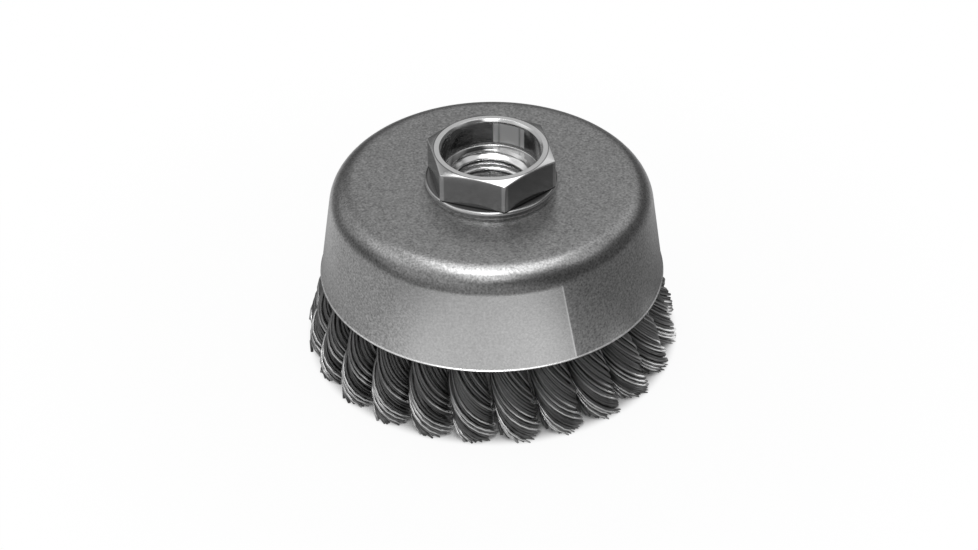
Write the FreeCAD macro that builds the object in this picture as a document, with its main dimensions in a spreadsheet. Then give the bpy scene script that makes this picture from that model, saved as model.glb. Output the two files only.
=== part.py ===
# Knotted wire cup brush for an angle grinder.
#
# The brush stands on its wire tips, face down. +Z points up along the spindle axis, and the origin is
# the centre of the brush face, where the trimmed wire ends meet the ground. All sizes are millimetres.
#
# From the top down, one stack on the axis: a hexagon arbor nut with a round collar, the pressed cup,
# the dished plate that holds the knots, and a hat-shaped retainer. The nut's shank runs down through
# the three sheets, and its end is spread below them like a rivet. Each knot is a bundle of wires bent
# over the web between two holes of the plate, with both legs twisted together below it.
import FreeCAD, Part
import Sketcher
import os
from math import cos, pi, radians, sin, tan

Vector = FreeCAD.Vector

SIZES = [
    # pressed cup
    ("trim_length", 15.0, "wire tips to the cup's rim"),
    ("rim_radius", 33.0, "outside of the cup at its rim"),
    ("cup_height", 20.4, "rim to the flat crown"),
    ("crown_room", 6.8, "outside of the crown beyond the circle of the knots' holes"),
    ("crown_bend", 5.1, "outside radius of the bend round the crown"),
    ("cup_sheet", 1.6, "sheet thickness of the cup"),
    ("rim_round", 0.4, "broken edges of the rim"),
    # arbor nut
    ("hex_flats", 22.2, "across the flats"),
    ("hex_turn", -78.5, "direction of one corner of the hexagon, in degrees"),
    ("hex_height", 6.4, "hexagon above the collar"),
    ("hex_bevel_radius", 10.4, "flat ring inside the bevel"),
    ("hex_bevel_slope", 14.0, "slope of the bevel out to the corners, in degrees"),
    ("collar_radius", 12.7, "round collar under the hexagon"),
    ("collar_height", 1.4, "collar above the crown"),
    ("collar_round", 0.65, "rounded edge of the collar"),
    ("pilot_radius", 9.4, "plain recess that clears the spindle's shoulder"),
    ("pilot_depth", 5.8, "depth of that recess"),
    ("pilot_bevel", 0.45, "bevel round its mouth"),
    ("thread_radius", 6.8, "crest radius of the 5/8 inch thread"),
    ("thread_lead_in", 1.1, "bevel at each end of the thread"),
    ("shank_radius", 10.0, "shank below the collar"),
    ("shank_play", 0.05, "gap between the shank and the sheets"),
    ("stake_radius", 11.4, "spread end of the shank"),
    ("stake_height", 2.4, "height of the spread end"),
    # plate that holds the knots
    ("plate_sheet", 2.0, "sheet thickness of the plate"),
    ("plate_drop", 4.3, "depth of the plate's dish"),
    ("plate_hub_radius", 14.0, "flat hub of the plate"),
    ("plate_ring_radius", 18.0, "inside of the plate's flat ring"),
    ("plate_bend", 0.8, "inside radius of the plate's bends"),
    ("plate_play", 0.15, "gap between the plate and the cup's wall"),
    ("hole_radius", 1.85, "each of a knot's two holes"),
    ("hole_circle", 23.6, "centre of each pair of holes from the axis"),
    ("hole_spread", 2.3, "each hole from the centre of its pair"),
    # hat-shaped retainer
    ("hat_sheet", 1.6, "sheet thickness of the retainer"),
    ("hat_hub_radius", 12.6, "flat hub of the retainer"),
    ("hat_foot_radius", 16.8, "foot of the retainer's cone"),
    ("hat_depth", 7.2, "hub to brim"),
    ("hat_bend", 0.8, "inside radius of the retainer's bends"),
    # knots
    ("knot_count", 24, "knots in the ring"),
    ("knot_turn", -100.2, "direction of the first pair of holes, in degrees"),
    ("knot_gap", 0.4, "gap between neighbouring knots"),
    ("knot_lean", 4.5, "how far a knot's tip is carried round the axis, in degrees"),
    ("leg_play", 0.1, "gap between a knot's leg and its hole"),
    ("seat_play", 0.05, "gap between a knot and the plate's faces"),
    ("cup_play", 0.35, "gap between the knots and the cup's wall"),
    ("hat_play", 0.3, "gap between the retainer's brim and the knots"),
    ("neck_depth", 6.9, "radial size of a knot at the rim"),
    ("tip_reach", 3.4, "how far the brush face spreads beyond the rim"),
    ("tip_depth", 9.5, "radial size of a knot at the face"),
    ("strand_count", 6, "ridges round a twisted knot"),
    ("strand_relief", 0.13, "depth of the grooves, as a share of the knot's radius"),
    ("cup_twist", 0.25, "turns of the twist inside the cup"),
    ("trim_twist", 0.62, "turns of the twist below the rim"),
]

# Heights of the stack and the offsets that sloping sheet needs, each worked out from the sizes.
LEVELS = [
    ("crown_top", "sizes.trim_length + sizes.cup_height"),
    ("plate_top", "crown_top - sizes.cup_sheet"),
    ("hat_top", "plate_top - sizes.plate_sheet"),
    ("hat_under", "hat_top - sizes.hat_sheet"),
    ("stake_end", "hat_under - sizes.stake_height"),
    ("ring_top", "plate_top - sizes.plate_drop"),
    ("ring_under", "ring_top - sizes.plate_sheet"),
    ("brim_top", "hat_top - sizes.hat_depth"),
    ("collar_top", "crown_top + sizes.collar_height"),
    ("nut_top", "collar_top + sizes.hex_height"),
    ("pilot_floor", "nut_top - sizes.pilot_depth"),
    ("stake_waist", "stake_end + sizes.stake_height / 2"),
    ("crown_radius", "sizes.hole_circle + sizes.crown_room"),
    ("wall_slope", "(sizes.rim_radius - crown_radius) / sizes.cup_height"),
    ("tip_radius", "sizes.rim_radius + sizes.tip_reach"),
    ("rim_inside", "sizes.rim_radius - sizes.cup_sheet * sqrt(1 + wall_slope ^ 2)"),
    ("ring_edge", "rim_inside - (ring_top - sizes.trim_length) * wall_slope - sizes.plate_play"),
    ("ring_foot", "ring_edge + sizes.plate_sheet * wall_slope"),
    ("plate_shift", "sizes.plate_sheet * tan(atan(sizes.plate_drop"
     " / (sizes.plate_ring_radius - sizes.plate_hub_radius)) / 2)"),
    ("hat_shift", "sizes.hat_sheet * tan(atan(sizes.hat_depth"
     " / (sizes.hat_foot_radius - sizes.hat_hub_radius)) / 2)"),
    ("brim_edge", "sizes.hole_circle - sizes.hole_spread - sizes.hole_radius - sizes.hat_play"),
    ("shank_hole", "sizes.shank_radius + sizes.shank_play"),
    ("bevel_drop", "(sizes.hex_flats - sizes.hex_bevel_radius) * tan(sizes.hex_bevel_slope * 1 deg)"),
]

V_AXIS, H_AXIS = range(-2, 0)
ROOT = H_AXIS
START, END, CENTRE = range(1, 4)
CLOSE = 0.001
KNOT_SECTIONS_IN_CUP = 6
KNOT_SECTIONS_BELOW = 14

doc = FreeCAD.newDocument("wire_cup_brush")
sheet = doc.addObject("Spreadsheet::Sheet", "sizes")
for row, (alias, value, note) in enumerate(SIZES, start=1):
    sheet.set(f"A{row}", note)
    sheet.set(f"B{row}", str(value))
    sheet.setAlias(f"B{row}", alias)
doc.recompute()
levels = doc.addObject("App::VarSet", "levels")
for name, expression in LEVELS:
    levels.addProperty("App::PropertyFloat", name, "Levels")
    levels.setExpression(name, expression)
doc.recompute()


def size(alias):
    """Value of one cell of the sheet."""
    return float(sheet.get(alias))


def new_body(name):
    """Empty body whose label names its file."""
    body = doc.addObject("PartDesign::Body", name)
    body.Label = name
    return body


def new_sketch(body, name, plane):
    """Sketch on one of the body's own origin planes."""
    sketch = body.newObject("Sketcher::SketchObject", name)
    support = [item for item in body.Origin.OriginFeatures if item.Role == plane][0]
    sketch.AttachmentSupport = [(support, "")]
    sketch.MapMode = "FlatFace"
    return sketch


def bind(sketch, constraint, expression):
    """Add a dimension and bind it to an expression."""
    index = sketch.addConstraint(constraint)
    sketch.setExpression(f"Constraints[{index}]", expression)


def outline(body, name, corners):
    """Closed outline in the XZ plane, each corner bound to a (radius, height) pair of expressions."""
    sketch = new_sketch(body, name, "XZ_Plane")
    count = len(corners)
    middle = size("rim_radius") / 3
    turns = [2 * pi * i / count for i in range(count)]
    rough = [Vector(middle + cos(angle), middle + sin(angle), 0) for angle in turns]
    for i in range(count):
        sketch.addGeometry(Part.LineSegment(rough[i], rough[(i + 1) % count]), False)
    for i in range(count):
        sketch.addConstraint(Sketcher.Constraint("Coincident", i, END, (i + 1) % count, START))
    for i, (radius, height) in enumerate(corners):
        if radius == "0":
            sketch.addConstraint(Sketcher.Constraint("PointOnObject", i, START, V_AXIS))
        else:
            bind(sketch, Sketcher.Constraint("DistanceX", ROOT, START, i, START, rough[i].x), radius)
        bind(sketch, Sketcher.Constraint("DistanceY", ROOT, START, i, START, rough[i].y), height)
    return sketch


def turn(body, kind, name, corners):
    """Turn an outline round the axis: a Revolution adds it to the body and a Groove cuts it away."""
    profile = outline(body, f"{name}_outline", corners)
    feature = body.newObject(f"PartDesign::{kind}", name)
    feature.Profile = profile
    feature.ReferenceAxis = (profile, ["V_Axis"])
    feature.Angle = 360
    doc.recompute()
    return feature


def circular_edges(shape, places):
    """Names of the shape's edges that are circles round the axis at the given (radius, height)."""
    names = []
    for index, edge in enumerate(shape.Edges, start=1):
        if not isinstance(edge.Curve, Part.Circle):
            continue
        for radius, height in places:
            if abs(edge.Curve.Radius - radius) < CLOSE and abs(edge.Curve.Center.z - height) < CLOSE:
                names.append(f"Edge{index}")
    return names


def round_edges(body, base, name, places, radius):
    """Fillet the circular edges of the base at the given places."""
    fillet = body.newObject("PartDesign::Fillet", name)
    fillet.Base = (base, circular_edges(base.Shape, places))
    fillet.setExpression("Radius", radius)
    doc.recompute()
    return fillet


def make_cup():
    """Pressed cup: a solid form with a rounded crown, hollowed to sheet, pierced for the nut."""
    body = new_body("cup_shell")
    form = turn(body, "Revolution", "cup_form", [
        ("0", "sizes.trim_length"),
        ("sizes.rim_radius", "sizes.trim_length"),
        ("levels.crown_radius", "levels.crown_top"),
        ("0", "levels.crown_top"),
    ])
    bend = round_edges(body, form, "cup_bend", [(levels.crown_radius, levels.crown_top)],
                       "sizes.crown_bend")
    mouth = [f"Face{i}" for i, face in enumerate(bend.Shape.Faces, start=1)
             if abs(face.CenterOfMass.z - size("trim_length")) < CLOSE]
    hollow = body.newObject("PartDesign::Thickness", "cup_hollow")
    hollow.Base = (bend, mouth)
    hollow.setExpression("Value", "sizes.cup_sheet")
    hollow.Reversed = True
    doc.recompute()
    hole = turn(body, "Groove", "cup_hole", [
        ("0", "levels.plate_top"),
        ("levels.shank_hole", "levels.plate_top"),
        ("levels.shank_hole", "levels.crown_top"),
        ("0", "levels.crown_top"),
    ])
    rim = [(size("rim_radius"), size("trim_length")), (levels.rim_inside, size("trim_length"))]
    round_edges(body, hole, "cup_rim", rim, "sizes.rim_round")
    return body


def make_nut():
    """Turned hexagon nut with a collar, a threaded bore below a plain recess, and a spread shank."""
    body = new_body("arbor_nut")
    blank = turn(body, "Revolution", "nut_blank", [
        ("0", "levels.stake_end"),
        ("sizes.stake_radius - sizes.stake_height / 2", "levels.stake_end"),
        ("sizes.stake_radius", "levels.stake_waist"),
        ("sizes.stake_radius", "levels.hat_under"),
        ("sizes.shank_radius", "levels.hat_under"),
        ("sizes.shank_radius", "levels.crown_top"),
        ("sizes.collar_radius", "levels.crown_top"),
        ("sizes.collar_radius", "levels.collar_top"),
        ("0", "levels.collar_top"),
    ])
    round_edges(body, blank, "collar_edge", [(size("collar_radius"), levels.collar_top)],
                "sizes.collar_round")
    hexagon = new_sketch(body, "hexagon", "XY_Plane")
    hexagon.setExpression(".AttachmentOffset.Base.z", "levels.collar_top")
    hexagon.setExpression(".AttachmentOffset.Rotation.Angle", "sizes.hex_turn")
    corner = size("hex_flats") / 2 / cos(radians(30))
    points = [Vector(corner * cos(radians(60 * i)), corner * sin(radians(60 * i)), 0) for i in range(6)]
    for i in range(6):
        hexagon.addGeometry(Part.LineSegment(points[i], points[(i + 1) % 6]), False)
    guide = hexagon.addGeometry(Part.Circle(Vector(0, 0, 0), Vector(0, 0, 1), corner), True)
    hexagon.addConstraint(Sketcher.Constraint("Coincident", guide, CENTRE, ROOT, START))
    for i in range(6):
        hexagon.addConstraint(Sketcher.Constraint("Coincident", i, END, (i + 1) % 6, START))
        hexagon.addConstraint(Sketcher.Constraint("PointOnObject", i, START, guide))
    for i in range(1, 6):
        hexagon.addConstraint(Sketcher.Constraint("Equal", 0, i))
    hexagon.addConstraint(Sketcher.Constraint("PointOnObject", 0, START, H_AXIS))
    bind(hexagon, Sketcher.Constraint("Radius", guide, corner), "sizes.hex_flats / 2 / cos(30 deg)")
    prism = body.newObject("PartDesign::Pad", "hex_prism")
    prism.Profile = hexagon
    prism.setExpression("Length", "sizes.hex_height")
    doc.recompute()
    turn(body, "Groove", "hex_bevel", [
        ("sizes.hex_bevel_radius", "levels.nut_top"),
        ("sizes.hex_flats", "levels.nut_top"),
        ("sizes.hex_flats", "levels.nut_top - levels.bevel_drop"),
    ])
    turn(body, "Groove", "nut_bore", [
        ("0", "levels.nut_top"),
        ("sizes.pilot_radius + sizes.pilot_bevel", "levels.nut_top"),
        ("sizes.pilot_radius", "levels.nut_top - sizes.pilot_bevel"),
        ("sizes.pilot_radius", "levels.pilot_floor"),
        ("sizes.thread_radius + sizes.thread_lead_in", "levels.pilot_floor"),
        ("sizes.thread_radius", "levels.pilot_floor - sizes.thread_lead_in"),
        ("sizes.thread_radius", "levels.stake_end + sizes.thread_lead_in"),
        ("sizes.thread_radius + sizes.thread_lead_in", "levels.stake_end"),
        ("0", "levels.stake_end"),
    ])
    return body


def make_plate():
    """Dished plate: a raised hub under the crown and a flat ring with a pair of holes for each knot."""
    body = new_body("knot_plate")
    dish = turn(body, "Revolution", "plate_dish", [
        ("levels.shank_hole", "levels.plate_top"),
        ("sizes.plate_hub_radius", "levels.plate_top"),
        ("sizes.plate_ring_radius", "levels.ring_top"),
        ("levels.ring_edge", "levels.ring_top"),
        ("levels.ring_foot", "levels.ring_under"),
        ("sizes.plate_ring_radius - levels.plate_shift", "levels.ring_under"),
        ("sizes.plate_hub_radius - levels.plate_shift", "levels.hat_top"),
        ("levels.shank_hole", "levels.hat_top"),
    ])
    hub = size("plate_hub_radius")
    ring = size("plate_ring_radius")
    outer = round_edges(body, dish, "plate_outer_bends", [
        (hub, levels.plate_top),
        (ring - levels.plate_shift, levels.ring_under),
    ], "sizes.plate_bend + sizes.plate_sheet")
    round_edges(body, outer, "plate_inner_bends", [
        (ring, levels.ring_top),
        (hub - levels.plate_shift, levels.hat_top),
    ], "sizes.plate_bend")
    pair = new_sketch(body, "hole_pair", "XY_Plane")
    for side, reach in (("-", -1), ("+", 1)):
        rough = Vector(size("hole_circle") + reach * size("hole_spread"), 0, 0)
        hole = pair.addGeometry(Part.Circle(rough, Vector(0, 0, 1), size("hole_radius")), False)
        pair.addConstraint(Sketcher.Constraint("PointOnObject", hole, CENTRE, H_AXIS))
        bind(pair, Sketcher.Constraint("DistanceX", ROOT, START, hole, CENTRE, rough.x),
             f"sizes.hole_circle {side} sizes.hole_spread")
        bind(pair, Sketcher.Constraint("Radius", hole, size("hole_radius")), "sizes.hole_radius")
    pair.setExpression(".AttachmentOffset.Rotation.Angle", "sizes.knot_turn")
    pierce = body.newObject("PartDesign::Pocket", "plate_holes")
    pierce.Profile = pair
    pierce.Type = "ThroughAll"
    pierce.Reversed = True
    doc.recompute()
    ring_of_holes = body.newObject("PartDesign::PolarPattern", "hole_ring")
    ring_of_holes.Originals = [pierce]
    ring_of_holes.Axis = (pair, ["N_Axis"])
    ring_of_holes.Angle = 360
    ring_of_holes.setExpression("Occurrences", "sizes.knot_count")
    body.Tip = ring_of_holes
    doc.recompute()
    return body


def make_hat():
    """Pressed retainer: a hub clamped under the plate, a cone, and a brim just inside the knots."""
    body = new_body("inner_retainer")
    form = turn(body, "Revolution", "hat_form", [
        ("levels.shank_hole", "levels.hat_top"),
        ("sizes.hat_hub_radius", "levels.hat_top"),
        ("sizes.hat_foot_radius", "levels.brim_top"),
        ("levels.brim_edge", "levels.brim_top"),
        ("levels.brim_edge", "levels.brim_top - sizes.hat_sheet"),
        ("sizes.hat_foot_radius - levels.hat_shift", "levels.brim_top - sizes.hat_sheet"),
        ("sizes.hat_hub_radius - levels.hat_shift", "levels.hat_under"),
        ("levels.shank_hole", "levels.hat_under"),
    ])
    hub = size("hat_hub_radius")
    foot = size("hat_foot_radius")
    outer = round_edges(body, form, "hat_outer_bends", [
        (hub, levels.hat_top),
        (foot - levels.hat_shift, levels.brim_top - size("hat_sheet")),
    ], "sizes.hat_bend + sizes.hat_sheet")
    round_edges(body, outer, "hat_inner_bends", [(foot, levels.brim_top)], "sizes.hat_bend")
    return body


def knot_section(height):
    """Place and size of a knot's section at one height: centre, radial and side half-size, lean, twist."""
    rim = size("trim_length")
    top = levels.ring_under - size("seat_play")
    hole_reach = size("hole_spread") + size("hole_radius") - size("leg_play")
    neck_outside = levels.rim_inside - size("cup_play")
    if height > rim:
        share = (top - height) / (top - rim)
        outside = (size("hole_circle") + hole_reach) * (1 - share) + neck_outside * share
        half_depth = hole_reach * (1 - share) + size("neck_depth") / 2 * share
        lean = 0.0
        twist = size("cup_twist") * share
    else:
        share = 1 - height / rim
        swell = 1 - (1 - share) ** 2
        outside = neck_outside + (levels.tip_radius - neck_outside) * swell
        half_depth = (size("neck_depth") * (1 - swell) + size("tip_depth") * swell) / 2
        lean = radians(size("knot_lean")) * share
        twist = size("cup_twist") + size("trim_twist") * (share + share ** 2) / 2
    centre = outside - half_depth
    wedge = tan(pi / size("knot_count"))
    half_width = wedge * (centre ** 2 - half_depth ** 2) ** 0.5 - size("knot_gap") / 2
    return centre, half_depth, half_width, lean, 2 * pi * twist


def knot_outline(height):
    """Wire of one horizontal section: a squashed ring of arcs, one for each ridge of the twist."""
    centre, half_depth, half_width, lean, twist = knot_section(height)
    ridges = int(size("strand_count"))
    groove = 1 - size("strand_relief")

    def point(step, scale):
        angle = twist + 2 * pi * step / ridges
        along = centre + half_depth * scale * cos(angle)
        across = half_width * scale * sin(angle)
        return Vector(along * cos(lean) - across * sin(lean), along * sin(lean) + across * cos(lean),
                      height)

    arcs = [Part.Arc(point(i, groove), point(i + 0.5, 1), point(i + 1, groove)).toShape()
            for i in range(ridges)]
    return Part.Wire(arcs)


def make_knot_form():
    """One knot over the X axis: a hairpin over the plate's web, and the twisted bundle below it."""
    rim = size("trim_length")
    top = levels.ring_under - size("seat_play")
    in_cup = [top + (rim - top) * i / KNOT_SECTIONS_IN_CUP for i in range(KNOT_SECTIONS_IN_CUP)]
    below = [rim * (1 - i / KNOT_SECTIONS_BELOW) for i in range(KNOT_SECTIONS_BELOW + 1)]
    twisted = Part.makeLoft([knot_outline(height) for height in in_cup + below], True, False)
    inner = Vector(size("hole_circle") - size("hole_spread"), 0, top)
    outer = Vector(size("hole_circle") + size("hole_spread"), 0, top)
    rise = Vector(0, 0, levels.ring_top + size("seat_play") - top)
    crest = (inner + outer) / 2 + rise + Vector(0, 0, size("hole_spread"))
    path = Part.Wire([
        Part.LineSegment(inner, inner + rise).toShape(),
        Part.Arc(inner + rise, crest, outer + rise).toShape(),
        Part.LineSegment(outer + rise, outer).toShape(),
    ])
    leg_radius = size("hole_radius") - size("leg_play")
    leg_section = Part.Wire(Part.Circle(inner, Vector(0, 0, 1), leg_radius).toShape())
    hairpin = path.makePipeShell([leg_section], True, True)
    return twisted.fuse(hairpin)


def make_knots():
    """The ring of knots, one solid each, every one the same form turned to its own pair of holes."""
    form = make_knot_form()
    count = int(size("knot_count"))
    knots = []
    for i in range(count):
        name = f"knot_{i + 1:02d}"
        knot = doc.addObject("Part::Feature", name)
        knot.Label = name
        knot.Shape = form
        angle = size("knot_turn") + 360 * i / count
        knot.Placement = FreeCAD.Placement(Vector(0, 0, 0), FreeCAD.Rotation(Vector(0, 0, 1), angle))
        knots.append(knot)
    return knots


def check_document(parts):
    """Stop if an object failed to recompute, or a sub-part is empty, broken or in several pieces."""
    for item in doc.Objects:
        if "Invalid" in item.State or "Error" in item.State:
            raise RuntimeError(f"{item.Name} did not recompute: {item.State}")
    for part in parts:
        if part.Shape.isNull() or not part.Shape.isValid():
            raise RuntimeError(f"{part.Label} has no valid shape")
        if len(part.Shape.Solids) != 1:
            raise RuntimeError(f"{part.Label} has {len(part.Shape.Solids)} solids")


def main():
    parts = [make_cup(), make_nut(), make_plate(), make_hat()]
    parts += make_knots()
    doc.recompute()
    check_document(parts)
    os.makedirs("parts", exist_ok=True)
    for part in parts:
        part.Shape.exportStep(f"parts/{part.Label}.step")
        print(f"{part.Label}: volume {part.Shape.Volume:.1f}")


main()
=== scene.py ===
"""Dresses the knotted wire cup brush: finished metal on every piece, real wires and a real thread."""
import logging
import math
import random
from collections.abc import Callable, Sequence
from dataclasses import dataclass
from enum import Enum

import bmesh
import bpy
import numpy as np
from mathutils import Matrix, Vector


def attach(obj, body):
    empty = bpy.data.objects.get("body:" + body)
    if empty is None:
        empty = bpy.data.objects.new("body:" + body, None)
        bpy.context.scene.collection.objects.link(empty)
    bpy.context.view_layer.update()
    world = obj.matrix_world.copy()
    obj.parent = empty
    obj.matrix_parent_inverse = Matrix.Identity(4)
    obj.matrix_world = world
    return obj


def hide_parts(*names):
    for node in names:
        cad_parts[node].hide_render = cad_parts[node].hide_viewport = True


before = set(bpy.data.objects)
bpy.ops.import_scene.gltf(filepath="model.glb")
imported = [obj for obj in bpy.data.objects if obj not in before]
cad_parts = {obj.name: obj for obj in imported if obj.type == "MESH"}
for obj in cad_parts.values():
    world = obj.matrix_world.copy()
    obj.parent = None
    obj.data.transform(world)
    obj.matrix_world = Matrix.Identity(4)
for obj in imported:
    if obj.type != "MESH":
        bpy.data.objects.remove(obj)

MM = 0.001
BODY = "root"
SHEET_COLUMNS = 144
SHARP = math.radians(35)
LOG = logging.getLogger("cup_brush")
Corner = tuple[float, float, float]
Outline = list[tuple[float, float]]
Settings = dict[str, object]
NodeSocket = bpy.types.NodeSocket


class Slot(Enum):
    """Names of the record's material slots, passed along with each piece."""

    CUP = "cup_steel"
    NUT = "nut_steel"
    INNER = "inner_steel"
    WIRE = "wire"


@dataclass(frozen=True)
class Stack:
    """Heights along the axis that the pieces share, in metres from the brush face."""

    rim: float = 15.0 * MM
    crown: float = 35.4 * MM
    cup_sheet: float = 1.6 * MM
    plate_sheet: float = 2.0 * MM
    hat_sheet: float = 1.6 * MM
    collar: float = 1.4 * MM
    hexagon: float = 6.4 * MM
    plate_drop: float = 4.3 * MM
    shank_hole: float = 10.05 * MM

    @property
    def plate_top(self) -> float:
        """Upper face of the knot plate's hub."""
        return self.crown - self.cup_sheet

    @property
    def hat_top(self) -> float:
        """Upper face of the retainer's hub."""
        return self.plate_top - self.plate_sheet

    @property
    def hat_under(self) -> float:
        """Lower face of the retainer's hub."""
        return self.hat_top - self.hat_sheet

    @property
    def ring_top(self) -> float:
        """Upper face of the ring that the knots hang on."""
        return self.plate_top - self.plate_drop

    @property
    def ring_under(self) -> float:
        """Lower face of that ring."""
        return self.ring_top - self.plate_sheet

    @property
    def nut_top(self) -> float:
        """Top of the arbor nut."""
        return self.crown + self.collar + self.hexagon


class Value:
    """Number on a shader socket. Sums, differences and products add Math nodes."""

    def __init__(self, graph: "Graph", socket: NodeSocket) -> None:
        """Keeps the socket and the graph that it belongs to."""
        self.graph = graph
        self.socket = socket

    def _math(self, operation: str, first: object, second: object, clamp: bool = False) -> "Value":
        """Adds one Math node.

        Args:
            operation: Blender's name of the operation.
            first: Left value, a number or a Value.
            second: Right value, a number or a Value.
            clamp: Whether the result stays between 0 and 1.

        Returns:
            The node's result.
        """
        settings = {"operation": operation, "use_clamp": clamp}
        return Value(self.graph, self.graph.add("ShaderNodeMath", settings, {0: first, 1: second}))

    def __add__(self, other: object) -> "Value":
        """Sum."""
        return self._math("ADD", self, other)

    def __radd__(self, other: object) -> "Value":
        """Sum with the number on the left."""
        return self._math("ADD", other, self)

    def __sub__(self, other: object) -> "Value":
        """Difference."""
        return self._math("SUBTRACT", self, other)

    def __rsub__(self, other: object) -> "Value":
        """Difference with the number on the left."""
        return self._math("SUBTRACT", other, self)

    def __mul__(self, other: object) -> "Value":
        """Product."""
        return self._math("MULTIPLY", self, other)

    def __rmul__(self, other: object) -> "Value":
        """Product with the number on the left."""
        return self._math("MULTIPLY", other, self)

    def angle_from(self, other: "Value") -> "Value":
        """Angle of the point (other, self) round the origin, in radians."""
        return self._math("ARCTAN2", self, other)

    def clamped(self) -> "Value":
        """The value kept between 0 and 1."""
        return self._math("ADD", self, 0.0, clamp=True)

    def step(self, start: float, end: float) -> "Value":
        """Smooth step from 0 at start to 1 at end.

        Args:
            start: Value where the step begins.
            end: Value where the step is complete. It may be below start.

        Returns:
            The step, between 0 and 1.
        """
        if end < start:
            return 1 - self.step(end, start)
        settings = {"interpolation_type": "SMOOTHSTEP"}
        sockets = {"Value": self, "From Min": start, "From Max": end, "To Min": 0.0, "To Max": 1.0}
        return Value(self.graph, self.graph.add("ShaderNodeMapRange", settings, sockets, "Result"))

    def spread(self, share: float) -> "Value":
        """A noise's distance from its middle of 0.5, times a share."""
        return (self - 0.5) * share

    def between(self, start: float, full: float, fade: float, end: float) -> "Value":
        """Mask that rises from 0 at start to 1 at full, stays, and falls from fade to 0 at end."""
        return self.step(start, full) * self.step(end, fade)


class Graph:
    """Node tree of one material or of the world, filled through one method."""

    def __init__(self, tree: bpy.types.NodeTree) -> None:
        """Clears the tree."""
        self.tree = tree
        tree.nodes.clear()

    def add(self, kind: str, settings: Settings, sockets: dict, output: int | str = 0) -> NodeSocket:
        """Adds a node.

        Args:
            kind: Blender's name of the node's type.
            settings: Properties of the node, set before its sockets.
            sockets: Value, Value object or link for each input, by name or number.
            output: Name or number of the output that is returned.

        Returns:
            The chosen output socket, or the node's first input where it has no output.
        """
        node = self.tree.nodes.new(kind)
        for name, setting in settings.items():
            setattr(node, name, setting)
        for name, value in sockets.items():
            self._feed(node.inputs[name], value)
        return node.outputs[output] if len(node.outputs) else node.inputs[0]

    def _feed(self, socket: NodeSocket, value: object) -> None:
        """Links a socket, or sets its default value.

        Args:
            socket: An input of a node.
            value: A Value or a link that feeds it, or its fixed value.
        """
        if isinstance(value, Value):
            value = value.socket
        if isinstance(value, NodeSocket):
            self.tree.links.new(value, socket)
        else:
            socket.default_value = value

    def place(self) -> NodeSocket:
        """Position in the brush's own frame, in metres."""
        return self.add("ShaderNodeTexCoord", {}, {}, "Object")

    def axes(self, vector: NodeSocket) -> tuple[Value, Value, Value]:
        """The three parts of a vector."""
        first = self.add("ShaderNodeSeparateXYZ", {}, {0: vector})
        return tuple(Value(self, socket) for socket in first.node.outputs)

    def noise(self, vector: NodeSocket, grain: float, detail: float = 3.0) -> Value:
        """Noise from 0 to 1.

        Args:
            vector: Where it is read.
            grain: Size of its features, in metres.
            detail: Blender's detail.

        Returns:
            The noise.
        """
        sockets = {"Vector": vector, "Scale": 1 / grain, "Detail": detail, "Roughness": 0.55}
        return Value(self, self.add("ShaderNodeTexNoise", {}, sockets, 0))

    def stretched(self, vector: NodeSocket, scale: Corner) -> NodeSocket:
        """A vector with each part scaled."""
        return self.add("ShaderNodeMapping", {}, {"Vector": vector, "Scale": scale})

    def measured(self, operation: str, vector: NodeSocket, other: Corner = (0, 0, 0)) -> Value:
        """Length of a vector, or its distance or dot product to another."""
        sockets = {0: vector, 1: other}
        return Value(self, self.add("ShaderNodeVectorMath", {"operation": operation}, sockets, "Value"))

    def grey(self, value: Value) -> NodeSocket:
        """A neutral colour of that brightness."""
        sockets = {"Factor": value.clamped(), 6: (0, 0, 0, 1), 7: (1, 1, 1, 1)}
        return self.add("ShaderNodeMix", {"data_type": "RGBA"}, sockets, 2)

    def bump(self, height: Value, depth: float, strength: float = 0.5) -> NodeSocket:
        """Normal bent by a height from 0 to 1 that stands for a real depth in metres."""
        return self.add("ShaderNodeBump", {}, {"Strength": strength, "Distance": depth, "Height": height})


class Finish:
    """Surface of a metal piece. A subclass works out its colour, roughness and bump."""

    name = "metal"

    def material(self) -> bpy.types.Material:
        """Builds the material with all its nodes.

        Returns:
            The material.
        """
        made = bpy.data.materials.new(self.name)
        made.use_nodes = True
        graph = Graph(made.node_tree)
        shader = graph.add("ShaderNodeBsdfPrincipled", {}, self.sockets(graph))
        graph.add("ShaderNodeOutputMaterial", {}, {"Surface": shader})
        return made

    def sockets(self, graph: Graph) -> dict:
        """Values and links for the shader's sockets."""
        raise NotImplementedError


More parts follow.
